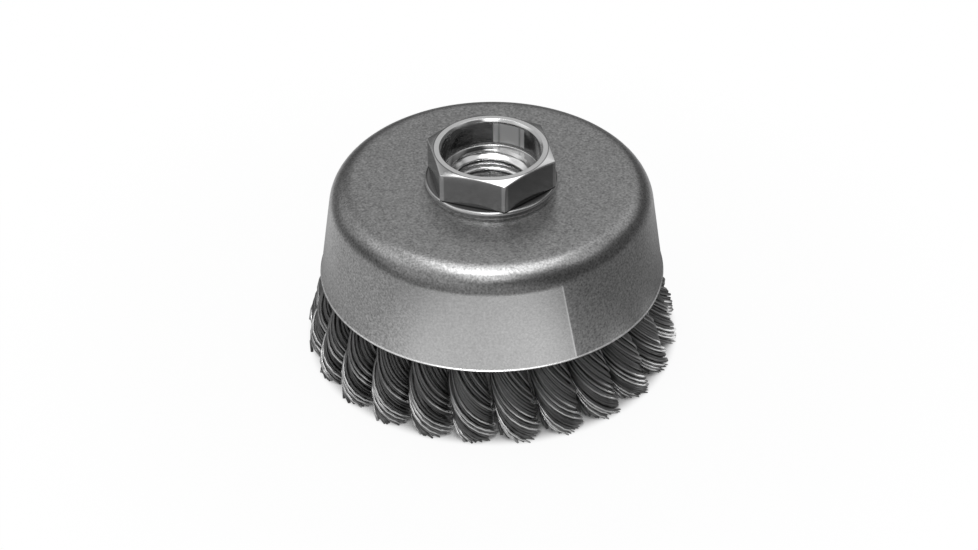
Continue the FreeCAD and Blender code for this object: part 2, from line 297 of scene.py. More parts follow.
@dataclass(frozen=True)
class SatinCup(Finish):
    """Satin grey cup with a fine blasted grain, a bare smoother field on its wall lightened towards its
    right edge by painted light, painted shade beside the field and on the crown, and a painted highlight
    along the rim.
    """

    name = "satin_cup"
    grey: float = 0.47
    field_grey: float = 0.57
    bright_grey: float = 0.92
    painted_light_grey: float = 0.12
    side_shade_share: float = 0.24
    side_shade_width: float = math.radians(48.0)
    rim_highlight_grey: float = 0.85
    crown_shade: float = 0.13
    roughness: float = 0.29
    grain: float = 0.4 * MM
    grain_share: float = 1.6
    field_calm: float = 0.55
    cloud: float = 9 * MM
    cloud_share: float = 0.14
    bump_depth: float = 0.02 * MM
    rim_height: float = Stack.rim
    crown_height: float = Stack.crown
    wall_top: float = 31.2 * MM
    field_right: float = math.radians(-61.3)
    field_left: float = math.radians(-132.0)
    field_fade: float = math.radians(21.0)
    painted_light_width: float = math.radians(33.6)
    field_slant: float = math.radians(3.7) / (16.2 * MM)
    edge: float = math.radians(0.25)

    def sockets(self, graph: Graph) -> dict:
        """Grain everywhere, a lighter smoother field on the front of the wall with painted light, painted
        shade beside it and on the crown, a painted highlight at the rim.

        Args:
            graph: The material's nodes.

        Returns:
            Values and links for the shader's sockets, by name.
        """
        place = graph.place()
        x, y, z = graph.axes(place)
        angle = y.angle_from(x)
        slanted = angle + (z - self.rim_height) * self.field_slant
        right = slanted.step(self.field_right + self.edge, self.field_right - self.edge)
        left = angle.step(self.field_left, self.field_left + self.field_fade)
        top = z.step(self.wall_top + 0.3 * MM, self.wall_top)
        field_mask = right * left * top
        trim = slanted.step(self.field_right - 3 * self.edge, self.field_right - self.edge) * right * top
        fine = graph.noise(place, self.grain, 1.0)
        coarse = graph.noise(place, self.cloud, 3.0)
        # Painted highlight: the rim's edge is lightened.
        rim = z.step(self.rim_height + 0.7 * MM, self.rim_height + 0.5 * MM)
        crown = z.step(self.crown_height - 0.4 * MM, self.crown_height - 0.05 * MM)
        grain = fine.spread(self.grain_share) * (1 - field_mask * self.field_calm)
        shade = self.grey * (1 + coarse.spread(self.cloud_share) + grain)
        # Painted light: the field is lightened towards its right edge.
        painted_light_mask = field_mask * slanted.step(self.field_right - self.painted_light_width, self.field_right)
        shade = shade + field_mask * (self.field_grey - self.grey) + painted_light_mask * self.painted_light_grey
        shade = shade + trim * (self.bright_grey - self.field_grey)
        # Painted shade: the wall right of the field is darkened.
        painted_shade_beside = (1 - right) * slanted.step(self.field_right + self.side_shade_width, self.field_right)
        painted_shade_beside = painted_shade_beside * z.step(self.wall_top + 2 * MM, self.wall_top - 1 * MM)
        shade = shade * (1 - painted_shade_beside * self.side_shade_share)
        # Painted shade: the crown is darkened.
        shade = (shade + rim * (self.rim_highlight_grey - self.grey)) * (1 - crown * self.crown_shade)
        return {
            "Base Color": graph.grey(shade),
            "Metallic": 1.0,
            "Roughness": self.roughness + coarse.spread(0.10) - field_mask * 0.04 + crown * 0.06,
            "Normal": graph.bump(fine, self.bump_depth),
        }


@dataclass(frozen=True)
class TurnedSteel(Finish):
    """Hexagon steel: flats and recess wall darkened by painted shade, bright freshly turned rings and
    bevels.
    """

    name = "turned_steel"
    seam_radius: float
    recess_radius: float
    recess_floor: float
    grey: float = 0.95
    upright_shade_share: float = 0.52
    roughness: float = 0.17
    grain: float = 0.5 * MM
    stain: float = 5 * MM
    ring_pitch: float = 0.16 * MM
    bump_depth: float = 0.008 * MM
    collar_top: float = Stack.crown + Stack.collar
    top: float = collar_top + Stack.hexagon
    corner_radius: float = 12.7 * MM
    seat_inside: float = 10.6 * MM
    recess_mouth: float = 42.7 * MM
    reflection_right: float = math.radians(47)
    reflection_left: float = math.radians(88)
    reflection_soft: float = math.radians(1.5)
    reflection_line: float = math.radians(2.2)
    reflection_line_share: float = 0.6
    reflection_light: float = 0.6
    reflection_roughness: float = 0.34
    seam_shade_share: float = 0.6
    corner_highlight_share: float = 0.4
    seat_shade_share: float = 0.75
    recess_shade_share: float = 0.4

    def sockets(self, graph: Graph) -> dict:
        """Tool rings round the axis, a little stain, painted shade on upright faces, seam, collar seat and
        recess wall, painted corner highlights and a painted reflection in the recess.

        Args:
            graph: The material's nodes.

        Returns:
            Values and links for the shader's sockets, by name.
        """
        place = graph.place()
        x, y, z = graph.axes(place)
        fine = graph.noise(place, self.grain, 2.0)
        stain = graph.noise(place, self.stain, 4.0)
        rings = graph.noise(graph.stretched(place, (0.02, 0.02, 1.0)), self.ring_pitch, 1.0)
        up = graph.axes(graph.add("ShaderNodeNewGeometry", {}, {}, "Normal"))[2]
        upright = up.between(-0.30, -0.12, 0.12, 0.30)
        radius = graph.measured("LENGTH", graph.stretched(place, (1, 1, 0)))
        # Painted shade: upright faces are darkened.
        shade = self.grey * (1 + stain.spread(0.22) + fine.spread(0.10)) * (1 - upright * self.upright_shade_share)
        # Painted shade: a dark line where the flat ring meets the bevel.
        shade = shade * (1 - self.seam_shade_line(radius, z) * self.seam_shade_share)
        # Painted highlight: the hexagon's corners are lightened.
        shade = shade + self.painted_corner_highlight(radius, z) * upright * self.corner_highlight_share
        # Painted shade: the collar's top at the foot of the hexagon is darkened.
        shade = shade * (1 - self.collar_seat_shade(radius, z) * self.seat_shade_share)
        # Painted shade: the recess wall is darkened.
        shade = shade * (1 - self.recess_wall(radius, z) * self.recess_shade_share)
        # Painted reflection: a paler place on the recess wall.
        painted_light_mask = self.painted_reflection_place(radius, y.angle_from(x), z) * upright
        return {
            "Base Color": graph.grey(shade + painted_light_mask * self.reflection_light),
            "Metallic": 1.0,
            "Roughness": self.roughness + stain.spread(0.10) + painted_light_mask * self.reflection_roughness,
            "Normal": graph.bump(rings * 0.6 + fine * 0.4, self.bump_depth),
        }

    def seam_shade_line(self, radius: Value, height: Value) -> Value:
        """Mask of the painted shade line where the flat ring on top meets the bevel."""
        line = (radius - self.seam_radius).between(-0.14 * MM, -0.04 * MM, 0.06 * MM, 0.16 * MM)
        return line * height.step(self.top - 0.3 * MM, self.top - 0.2 * MM)

    def painted_corner_highlight(self, radius: Value, height: Value) -> Value:
        """Mask of the hexagon's corners, given a painted highlight."""
        above = height.step(self.collar_top + 0.1 * MM, self.collar_top + 0.3 * MM)
        return radius.step(self.corner_radius - 0.3 * MM, self.corner_radius - 0.15 * MM) * above

    def collar_seat_shade(self, radius: Value, height: Value) -> Value:
        """Mask of the collar's flat top at the foot of the hexagon, darkened by painted shade."""
        level = (height - self.collar_top).between(-0.2 * MM, -0.05 * MM, 0.1 * MM, 0.3 * MM)
        return level * radius.step(self.seat_inside, self.seat_inside + 0.2 * MM)

    def recess_wall(self, radius: Value, height: Value) -> Value:
        """Mask of the recess wall, between its ledge and its mouth.

        Args:
            radius: Distance from the axis.
            height: Height above the brush face.

        Returns:
            The mask, from 0 to 1.
        """
        wall = (radius - self.recess_radius).between(-0.4 * MM, -0.2 * MM, 0.2 * MM, 0.3 * MM)
        foot = self.recess_floor + 0.2 * MM
        return wall * height.between(foot, foot + 0.3 * MM, self.recess_mouth - 0.2 * MM, self.recess_mouth)

    def painted_reflection_place(self, radius: Value, angle: Value, height: Value) -> Value:
        """Mask of the painted reflection on the recess wall: a paler place, with a narrow painted darker
        line near each side.

        Args:
            radius: Distance from the axis.
            angle: Direction round the axis.
            height: Height above the brush face.

        Returns:
            The mask, from 0 to 1.
        """
        foot = self.recess_floor + 0.5 * MM
        mouth = self.recess_mouth - 0.2 * MM
        band = height.between(foot, foot + 0.4 * MM, mouth - 0.3 * MM, mouth)
        right = self.reflection_right
        left = self.reflection_left
        sides = angle.between(right, right + self.reflection_soft, left - self.reflection_soft, left)
        line = self.upright_line(angle, right + 5 * self.reflection_soft)
        line = line + self.upright_line(angle, left - 5 * self.reflection_soft)
        return self.recess_wall(radius, height) * band * sides * (1 - line * self.reflection_line_share)

    def upright_line(self, angle: Value, middle: float) -> Value:
        """Mask of a narrow upright line at a direction."""
        return angle.between(middle - self.reflection_line, middle, middle, middle + self.reflection_line)


@dataclass(frozen=True)
class PressedSteel(Finish):
    """Plain pressed sheet for the hidden plate and retainer."""

    name = "pressed_steel"
    grey: float = 0.30
    roughness: float = 0.40
    grain: float = 0.4 * MM
    stain: float = 6 * MM
    bump_depth: float = 0.015 * MM

    def sockets(self, graph: Graph) -> dict:
        """Mill grain, dull stains and a slightly uneven surface.

        Args:
            graph: The material's nodes.

        Returns:
            Values and links for the shader's sockets, by name.
        """
        place = graph.place()
        fine = graph.noise(place, self.grain, 3.0)
        stain = graph.noise(place, self.stain, 4.0)
        return {
            "Base Color": graph.grey(self.grey * (1 + stain.spread(0.4) + fine.spread(0.2))),
            "Metallic": 1.0,
            "Roughness": self.roughness + stain.spread(0.2),
            "Normal": graph.bump(fine, self.bump_depth),
        }


@dataclass(frozen=True)
class DarkWire(Finish):
    """Dark drawn wire, oily and darkened by painted shade near the cup, lighter near its tips. Each wire
    has its own tone, lighter on proud wires and darker on sunk ones as painted light and shade.
    """

    name = "dark_wire"
    grey: float = 0.95
    oil_shade_grey: float = 0.24
    tip_grey: float = 0.30
    oil_shade_top: float = 9.5 * MM
    oil_shade_foot: float = 4.5 * MM
    tip_top: float = 3.2 * MM
    roughness: float = 0.19
    oil_roughness: float = 0.30
    dull_roughness: float = 0.28
    oil_shade_share: float = 0.98
    patch: float = 2.2 * MM
    patch_share: float = 0.9
    draw_marks: float = 0.12 * MM
    bump_depth: float = 0.006 * MM
    tone: str = "wire_tone"

    def sockets(self, graph: Graph) -> dict:
        """A tone for each wire, dull patches along it, fine draw marks, and a film of oil with painted
        shade at its root.

        Args:
            graph: The material's nodes.

        Returns:
            Values and links for the shader's sockets, by name.
        """
        place = graph.place()
        height = graph.axes(place)[2]
        oil_and_shade = height.step(self.oil_shade_foot, self.oil_shade_top)
        tone = Value(graph, graph.add("ShaderNodeAttribute", {"attribute_name": self.tone}, {}, "Fac"))
        patches = graph.noise(place, self.patch, 3.0)
        fine = graph.noise(place, self.draw_marks, 2.0)
        shade = self.grey * tone * (1 + patches.spread(self.patch_share))
        tip_lightening = height.step(self.tip_top, self.tip_top * 0.3)
        # Painted shade with an oily film: wires near the cup are pulled to one dark grey.
        shade = shade + (self.oil_shade_grey - shade) * oil_and_shade * self.oil_shade_share + tip_lightening * patches * self.tip_grey
        rough = self.roughness + patches.spread(0.22) + fine.spread(0.08)
        rough = rough + oil_and_shade * self.oil_roughness + (1 - tone) * self.dull_roughness
        return {
            "Base Color": graph.grey(shade),
            "Metallic": 1.0,
            "Roughness": rough,
            "Normal": graph.bump(fine, self.bump_depth, 0.4),
        }


def rounded(corners: Sequence[Corner], steps: int = 4) -> Outline:
    """Rounds the corners of a closed outline.

    Args:
        corners: Radius, height and rounding of each corner, in metres. No rounding keeps the corner.
        steps: Segments in each rounded corner.

    Returns:
        Points of (radius, height), steps + 1 for each rounded corner.
    """
    points = []
    count = len(corners)
    for i, (x, z, radius) in enumerate(corners):
        here = np.array((x, z))
        if radius == 0:
            points.append((x, z))
            continue
        back = np.array(corners[i - 1][:2]) - here
        ahead = np.array(corners[(i + 1) % count][:2]) - here
        back = back / np.linalg.norm(back)
        ahead = ahead / np.linalg.norm(ahead)
        half = math.acos(float(np.clip(back @ ahead, -1, 1))) / 2
        middle = (back + ahead) / np.linalg.norm(back + ahead)
        centre = here + middle * radius / math.sin(half)
        start = here + back * radius / math.tan(half) - centre
        end = here + ahead * radius / math.tan(half) - centre
        first = math.atan2(start[1], start[0])
        sweep = (math.atan2(end[1], end[0]) - first + math.pi) % (2 * math.pi) - math.pi
        for step in range(steps + 1):
            angle = first + sweep * step / steps
            points.append((centre[0] + radius * math.cos(angle), centre[1] + radius * math.sin(angle)))
    return points


def turned_mesh(angles: Sequence[float], outline: Callable[[float], Outline],
                closed: bool = True) -> bmesh.types.BMesh:
    """Sweeps an outline round the Z axis.

    Args:
        angles: Directions of the columns, in radians, once round.
        outline: Gives the outline of (radius, height) points at an angle, always as many.
        closed: Whether the outline's last point joins its first.

    Returns:
        The mesh.
    """
    mesh = bmesh.new()
    columns = []
    for angle in angles:
        c, s = math.cos(angle), math.sin(angle)
        columns.append([mesh.verts.new((r * c, r * s, z)) for r, z in outline(angle)])
    rows = len(columns[0])
    for i, column in enumerate(columns):
        other = columns[(i + 1) % len(columns)]
        for j in range(rows if closed else rows - 1):
            k = (j + 1) % rows
            mesh.faces.new((column[j], other[j], other[k], column[k]))
    return mesh


def finished_piece(name: str, mesh: bmesh.types.BMesh, finish: Finish, slot: Slot, *nodes: str) -> None:
    """Makes an object of a mesh and puts it in the place of its CAD nodes.

    Args:
        name: Name of the piece.
        mesh: Its mesh, which is freed.
        finish: Its surface.
        slot: The record's slot.
        nodes: CAD nodes that it stands for.
    """
    bmesh.ops.recalc_face_normals(mesh, faces=mesh.faces)
    for face in mesh.faces:
        face.smooth = True
    data = bpy.data.meshes.new(name)
    mesh.to_mesh(data)
    mesh.free()
    data.set_sharp_from_angle(angle=SHARP)
    placed_piece(name, data, finish.material(), slot, *nodes)


def placed_piece(name: str, data: bpy.types.Mesh, material: bpy.types.Material, slot: Slot,
                 *nodes: str) -> None:
    """Links a mesh as a piece that rides on the body and replaces its CAD nodes.

    Args:
        name: Name of the piece.
        data: Its mesh.
        material: Its finish.
        slot: The record's slot. It is not used.
        nodes: CAD nodes that it stands for.
    """
    data.materials.append(material)
    piece = bpy.data.objects.new(name, data)
    bpy.context.scene.collection.objects.link(piece)
    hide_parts(*nodes)
    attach(piece, BODY)
    LOG.info("%s: %d faces", name, len(data.polygons))


def around(count: int) -> list[float]:
    """Even directions once round, in radians."""
    return [2 * math.pi * i / count for i in range(count)]


def dished_mesh(hole: float, hub: Corner, ring: Corner, sheet: float, bend: float,
                edges: Sequence[float]) -> bmesh.types.BMesh:
    """Turns a sheet dished round a flat hub into a flat ring.

    Args:
        hole: Radius of the hole in the hub.
        hub: Radius and height of the hub's upper edge, and rounding of the bend under it.
        ring: Radius and height of the ring's inner edge, and rounding of its outer edges.
        sheet: Thickness.
        bend: Rounding of the bend above the ring.
        edges: Outer radius of the ring's upper and lower face.

    Returns:
        The mesh.
    """
    hub_radius, top, heel = hub
    ring_radius, low, edge = ring
    slope = math.atan2(top - low, ring_radius - hub_radius)
    shift = sheet * math.tan(slope / 2)
    big = bend + sheet
    outline = rounded([
        (hole, top, 0),
        (hub_radius, top, big),
        (ring_radius, low, bend),
        (edges[0], low, edge),
        (edges[1], low - sheet, edge),
        (ring_radius - shift, low - sheet, big),
        (hub_radius - shift, top - sheet, heel),
        (hole, top - sheet, 0),
    ], 5)
    return turned_mesh(around(SHEET_COLUMNS), lambda angle: outline)


@dataclass
class Cup:
    """Pressed cup: flat crown, rounded bend, slightly flared wall."""

    stack: Stack
    rim_radius: float = 33.0 * MM
    crown_radius: float = 30.4 * MM
    bend: float = 5.1 * MM
    rim_round: float = 0.4 * MM
    rim_bead: float = 0.2 * MM
    bead_inset: float = 0.05 * MM
    bead_middle: float = 0.38 * MM
    bead_top: float = 0.52 * MM
    edge: float = 0.12 * MM
    columns: int = 288

    def wall_inside(self, height: float) -> float:
        """Inside radius of the wall.

        Args:
            height: Height above the brush face.

        Returns:
            The radius.
        """
        slope = (self.rim_radius - self.crown_radius) / (self.stack.crown - self.stack.rim)
        at_rim = self.rim_radius - self.stack.cup_sheet * math.hypot(1, slope)
        return at_rim - (height - self.stack.rim) * slope

    def build(self) -> None:
        """Makes the cup."""
        stack = self.stack
        bead_foot = self.rim_radius - self.bead_inset
        corners = [
            (stack.shank_hole, stack.crown, self.edge),
            (self.crown_radius, stack.crown, self.bend),
            (bead_foot, stack.rim + self.bead_top, 0.04 * MM),
            (self.rim_radius + self.rim_bead, stack.rim + self.bead_middle, 0.08 * MM),
            (bead_foot, stack.rim, self.rim_round * 0.5),
            (self.wall_inside(stack.rim), stack.rim, self.rim_round),
            (self.wall_inside(stack.plate_top), stack.plate_top, self.bend - stack.cup_sheet),
            (stack.shank_hole, stack.plate_top, self.edge),
        ]
        outline = rounded(corners, 12)
        mesh = turned_mesh(around(self.columns), lambda angle: outline)
        finished_piece("cup", mesh, SatinCup(), Slot.CUP, "cup_shell")


@dataclass
class ArborNut:
    """Hexagon nut with a collar, a recess above its thread, and a spread shank end."""

    stack: Stack
    flats: float = 22.2 * MM
    corner_direction: float = math.radians(-78.5)
    corner_round: float = 0.28 * MM
    bevel_radius: float = 10.85 * MM
    bevel_slope: float = math.radians(17.1)
    collar_radius: float = 12.7 * MM
    collar_round: float = 0.65 * MM
    pilot_radius: float = 9.4 * MM
    pilot_depth: float = 5.8 * MM
    pilot_bevel: float = 0.45 * MM
    crest_radius: float = 6.8 * MM
    root_radius: float = 7.9 * MM
    pitch: float = 25.4 / 11 * MM
    shank_radius: float = 10.0 * MM
    stake_radius: float = 11.4 * MM
    stake_height: float = 2.4 * MM
    edge: float = 0.14 * MM
    crest_share: float = 0.25
    root_share: float = 0.125
    rows_in_pitch: int = 16
    weld: float = 0.0004 * MM

    @property
    def bottom(self) -> float:
        """Height of the shank's lower end."""
        return self.stack.hat_under - self.stake_height

    @property
    def ledge(self) -> float:
        """Height of the recess floor, where the thread begins."""
        return self.stack.nut_top - self.pilot_depth

    @property
    def opened(self) -> float:
        """Radius of the bevel at each end of the thread, just clear of its root."""
        return self.root_radius + 0.01 * MM

    def hex_radius(self, angle: float) -> float:
        """Distance from the axis to the hexagon's side, its corners slightly rounded.

        Args:
            angle: Direction from the axis, in radians.

        Returns:
            The distance.
        """
        inner = self.flats / 2
        turn = (angle - self.corner_direction + math.pi / 6) % (math.pi / 3) - math.pi / 6
        centre = (inner - self.corner_round) / math.cos(math.pi / 6)
        reach = math.atan2(self.corner_round / 2, centre + self.corner_round * math.cos(math.pi / 6))
        if abs(turn) < reach:
            across = centre * math.sin(turn)
            return centre * math.cos(turn) + math.sqrt(self.corner_round ** 2 - across ** 2)
        return inner / math.cos(math.pi / 6 - abs(turn))

    def directions(self) -> list[float]:
        """Columns round the nut, close together at its corners.

        Returns:
            Their directions, in radians.
        """
        near = [math.radians(d) for d in (0, 0.25, 0.5, 0.8, 1.2)]
        far = [math.radians(1.2 + 28.8 * i / 14) for i in range(1, 15)]
        half = near + far
        one_side = [-d for d in reversed(half[1:-1])] + half
        start = self.corner_direction
        return [start + side * math.pi / 3 + d for side in range(6) for d in one_side]

    def thread_radius(self, angle: float, height: float) -> float:
        """Radius of the threaded wall, opened by the bevel at each end.

        Args:
            angle: Direction from the axis, in radians.
            height: Height above the brush face.

        Returns:
            The radius.
        """
        place = (height / self.pitch - angle / (2 * math.pi)) % 1.0
        flank = (1 - self.crest_share - self.root_share) / 2
        depth = min(max((place - self.crest_share) / flank, 0.0), max((1 - place) / flank, 0.0), 1.0)
        radius = self.crest_radius + (self.root_radius - self.crest_radius) * depth
        end = min(self.ledge - height, height - self.bottom)
        return max(radius, self.opened - end)

    def outside(self, angle: float) -> Outline:
        """Outline from the thread's lower end, round the outside and down the recess to its ledge.

        Args:
            angle: Direction from the axis, in radians.

        Returns:
            Points of (radius, height).
        """
        stack = self.stack
        hexagon = self.hex_radius(angle)
        bevel_foot = stack.nut_top - (hexagon - self.bevel_radius) * math.tan(self.bevel_slope)
        collar_top = stack.crown + stack.collar
        waist = self.stake_height / 2
        return rounded([
            (self.opened, self.bottom, 0),
            (self.stake_radius - waist, self.bottom, self.edge * 3),
            (self.stake_radius, self.bottom + waist, self.edge * 3),
            (self.stake_radius, stack.hat_under, self.edge),
            (self.shank_radius, stack.hat_under, 0),
            (self.shank_radius, stack.crown, 0),
            (self.collar_radius, stack.crown, self.edge),
            (self.collar_radius, collar_top, self.collar_round),
            (min(hexagon - 0.01 * MM, self.collar_radius - self.collar_round * 1.02), collar_top, 0),
            (hexagon, collar_top + 0.01 * MM, 0),
            (hexagon, bevel_foot, self.edge * 2),
            (self.bevel_radius, stack.nut_top, self.edge * 0.8),
            (self.pilot_radius + self.pilot_bevel, stack.nut_top, self.edge * 0.8),
            (self.pilot_radius, stack.nut_top - self.pilot_bevel, self.edge * 0.8),
            (self.pilot_radius, self.ledge, self.edge),
            (self.opened, self.ledge, 0),
        ], 4)

    def add_thread(self, mesh: bmesh.types.BMesh, angles: Sequence[float]) -> None:
        """Adds the helical wall, whose rows climb with the thread.

        Args:
            mesh: The nut's mesh.
            angles: Its columns, in order.
        """
        first = angles[0]
        turns = math.ceil((self.ledge - self.bottom) / self.pitch) + 2
        rows = turns * self.rows_in_pitch
        columns = []
        for angle in [*angles, first + 2 * math.pi]:
            climb = (angle - first) / (2 * math.pi) * self.pitch
            column = []
            for row in range(rows + 1):
                height = self.bottom - self.pitch + row * self.pitch / self.rows_in_pitch + climb
                height = min(max(height, self.bottom), self.ledge)
                radius = self.thread_radius(angle, height)
                column.append(mesh.verts.new((radius * math.cos(angle), radius * math.sin(angle), height)))
            columns.append(column)
        for here, there in zip(columns, columns[1:]):
            for j in range(rows):
                mesh.faces.new((here[j], there[j], there[j + 1], here[j + 1]))
        bmesh.ops.remove_doubles(mesh, verts=mesh.verts, dist=self.weld)
        bmesh.ops.dissolve_degenerate(mesh, edges=mesh.edges, dist=self.weld)

    def build(self) -> None:
        """Makes the nut."""
        angles = self.directions()
        mesh = turned_mesh(angles, self.outside, closed=False)
        self.add_thread(mesh, angles)
        finish = TurnedSteel(self.bevel_radius, self.pilot_radius, self.ledge)
        finished_piece("nut", mesh, finish, Slot.NUT, "arbor_nut")


@dataclass
class KnotPlate:
    """Dished plate that the knots hang on."""

    stack: Stack
    cup: Cup
    hub: float = 14.0 * MM
    ring: float = 18.0 * MM
    bend: float = 0.8 * MM
    edge: float = 0.1 * MM
    play: float = 0.15 * MM

    def build(self) -> None:
        """Makes the plate, whose holes the knots fill."""
        stack = self.stack
        edges = [self.cup.wall_inside(height) - self.play for height in (stack.ring_top, stack.ring_under)]
        hub = (self.hub, stack.plate_top, self.bend)
        ring = (self.ring, stack.ring_top, self.edge)
        mesh = dished_mesh(stack.shank_hole, hub, ring, stack.plate_sheet, self.bend, edges)
        finished_piece("plate", mesh, PressedSteel(), Slot.INNER, "knot_plate")


@dataclass
class Retainer:
    """Hat-shaped retainer under the plate, inside the ring of knots."""

    stack: Stack
    hub: float = 12.6 * MM
    foot: float = 16.8 * MM
    depth: float = 7.2 * MM
    bend: float = 0.8 * MM
    edge: float = 0.15 * MM
    brim: float = 19.15 * MM

    def build(self) -> None:
        """Makes the retainer."""
        stack = self.stack
        hub = (self.hub, stack.hat_top, self.bend * 0.25)
        ring = (self.foot, stack.hat_top - self.depth, self.edge)
        mesh = dished_mesh(stack.shank_hole, hub, ring, stack.hat_sheet, self.bend, (self.brim, self.brim))
        finished_piece("retainer", mesh, PressedSteel(), Slot.INNER, "inner_retainer")


def leaned(x: np.ndarray, y: np.ndarray, lean: np.ndarray) -> tuple[np.ndarray, np.ndarray]:
    """Places turned about the brush's axis by a knot's lean.

    Args:
        x: How far out each lies.
        y: How far to the side each lies.
        lean: Angle of the turn at each, in radians.

    Returns:
        The two after the turn.
    """
    c, s = np.cos(lean), np.sin(lean)
    return x * c - y * s, x * s + y * c


@dataclass(frozen=True)
class WireRing:
    """One layer of wires in a knot: how deep it lies, how many wires, and how high they start."""

    depth: float
    count: int
    top: float


@dataclass
class Knot:
    """One twisted knot of wires, bent over the plate's web and trimmed at the brush face."""

    stack: Stack
    cup: Cup
    count: int = 24
    first_direction: float = math.radians(-100.2)
    lean: float = math.radians(4.5)
    hole_circle: float = 23.6 * MM
    hole_spread: float = 2.3 * MM
    leg_radius: float = 1.75 * MM
    cup_play: float = 0.35 * MM
    neck_depth: float = 6.9 * MM
    tip_radius: float = 36.1 * MM
    tip_depth: float = 9.2 * MM
    gap: float = 0.05 * MM
    cup_twist: float = 0.25
    trim_twist: float = 0.62
    wire: float = 0.29 * MM
    sides: int = 6
    step: float = 1.15 * MM
    leg_groove: float = 0.20
    groove_width: float = 0.36
    groove_fade: float = 0.35
    wander: float = 0.05
    tip_wander: float = 0.10
    ripple: float = 0.07 * MM
    ripple_length: float = 2.9 * MM
    splay: float = 0.45 * MM
    spacing_play: float = 0.22
    cut_end: float = 0.03 * MM
    cut_play: float = 0.9 * MM
    sunk: tuple[float, float] = (0.15 * MM, 0.55 * MM)
    proud_places: tuple[int, ...] = (0, 2, 4)
    proud_every: int = 10
    seed: int = 4100
    core_top: float = 27.3 * MM
    core_end: float = 1.2 * MM
    core_rows: int = 22
    core_sides: int = 24
    core_inset: float = 1.05 * MM
    core_tone: float = 0.4
    proud_lit_tone: tuple[float, float] = (0.85, 1.1)
    sunk_shade_tone: tuple[float, float] = (0.14, 0.24)
    web_wires: int = 14
    web_tone: tuple[float, float] = (0.25, 1.0)
    rings: tuple[WireRing, ...] = (
        WireRing(0.30 * MM, 32, 27.4 * MM),
        WireRing(0.95 * MM, 27, 12.0 * MM),
        WireRing(1.35 * MM, 25, 3.0 * MM),
        WireRing(1.82 * MM, 20, 3.0 * MM),
        WireRing(2.34 * MM, 14, 3.0 * MM),
        WireRing(2.86 * MM, 9, 3.0 * MM),
        WireRing(3.38 * MM, 4, 3.0 * MM),
    )

    def section(self, height: np.ndarray) -> tuple[np.ndarray, ...]:
        """Place and size of the knot's section at each height.

        Args:
            height: Heights above the brush face.

        Returns:
            Centre radius, radial half-size, side half-size, lean and twist, each an array.
        """
        rim = self.stack.rim
        top = self.stack.ring_under
        reach = self.hole_spread + self.leg_radius
        neck_out = self.cup.wall_inside(rim) - self.cup_play
        up = np.clip((top - height) / (top - rim), 0, 1)
        down = np.clip(1 - height / rim, 0, 1)
        swell = 1 - (1 - down) ** 2
        inside = height > rim
        outer = np.where(inside, (self.hole_circle + reach) * (1 - up) + neck_out * up,
                         neck_out + (self.tip_radius - neck_out) * swell)
        depth = np.where(inside, reach * (1 - up) + self.neck_depth / 2 * up,
                         (self.neck_depth * (1 - swell) + self.tip_depth * swell) / 2)
        centre = outer - depth
        wedge = math.tan(math.pi / self.count)
        width = wedge * np.sqrt(centre ** 2 - depth ** 2) - self.gap / 2
        twist = np.where(inside, self.cup_twist * up,
                         self.cup_twist + self.trim_twist * (down + down ** 2) / 2)
        return centre, depth, width, self.lean * down, 2 * math.pi * twist

    def wire_path(self, ring: WireRing, turn: float, sunk: float, end: float,
                  dice: random.Random) -> tuple[np.ndarray, np.ndarray]:
        """Route of one wire.

        Args:
            ring: Its layer.
            turn: Its place round the knot before the twist, in radians.
            sunk: How far it lies below its layer.
            end: Height of its cut end.
            dice: Random numbers for its small wanderings.

        Returns:
            Its points and, at each, the direction out of the knot.
        """
        steps = max(6, round((ring.top - end) / self.step))
        height = ring.top + (end - ring.top) * np.linspace(0, 1, steps + 1)
        centre, depth, width, lean, twist = self.section(height)
        down = np.clip(1 - height / self.stack.rim, 0, 1)
        wander = dice.uniform(-1, 1) * self.wander + dice.uniform(-1, 1) * self.tip_wander * down ** 2
        groove = self.leg_groove * np.exp(-(math.sin(turn) / self.groove_width) ** 2)
        groove = groove * (1 - self.groove_fade * down)
        phase = dice.uniform(0, 2 * math.pi)
        ripple = self.ripple * np.sin(height / self.ripple_length + phase)
        splay = dice.random() ** 3 * self.splay * down ** 4
        inset = ring.depth + sunk * (1 - 0.4 * down) - ripple - splay
        angle = turn + wander + twist
        radial = (depth - inset) * (1 - groove)
        across = (width - inset) * (1 - groove)
        x = centre + radial * np.cos(angle)
        y = across * np.sin(angle)
        outward = np.stack([np.cos(angle), np.sin(angle) * depth / width, 0 * angle], axis=1)
        points = np.stack([*leaned(x, y, lean), height], axis=1)
        turned = np.stack([*leaned(outward[:, 0], outward[:, 1], lean), outward[:, 2]], axis=1)
        return points, turned

    def tube(self, points: np.ndarray, outward: np.ndarray, radius: float) -> np.ndarray:
        """Rings of points round a route.

        Args:
            points: The route.
            outward: A direction across it at each point.
            radius: The tube's radius.

        Returns:
            Points, one ring for each of the route's.
        """
        along = np.gradient(points, axis=0)
        along /= np.linalg.norm(along, axis=1, keepdims=True)
        side = np.cross(along, outward)
        side /= np.linalg.norm(side, axis=1, keepdims=True)
        out = np.cross(side, along)
        angle = np.array(around(self.sides))
        spokes = out[:, None] * np.cos(angle)[None, :, None] + side[:, None] * np.sin(angle)[None, :, None]
        return points[:, None] + radius * spokes

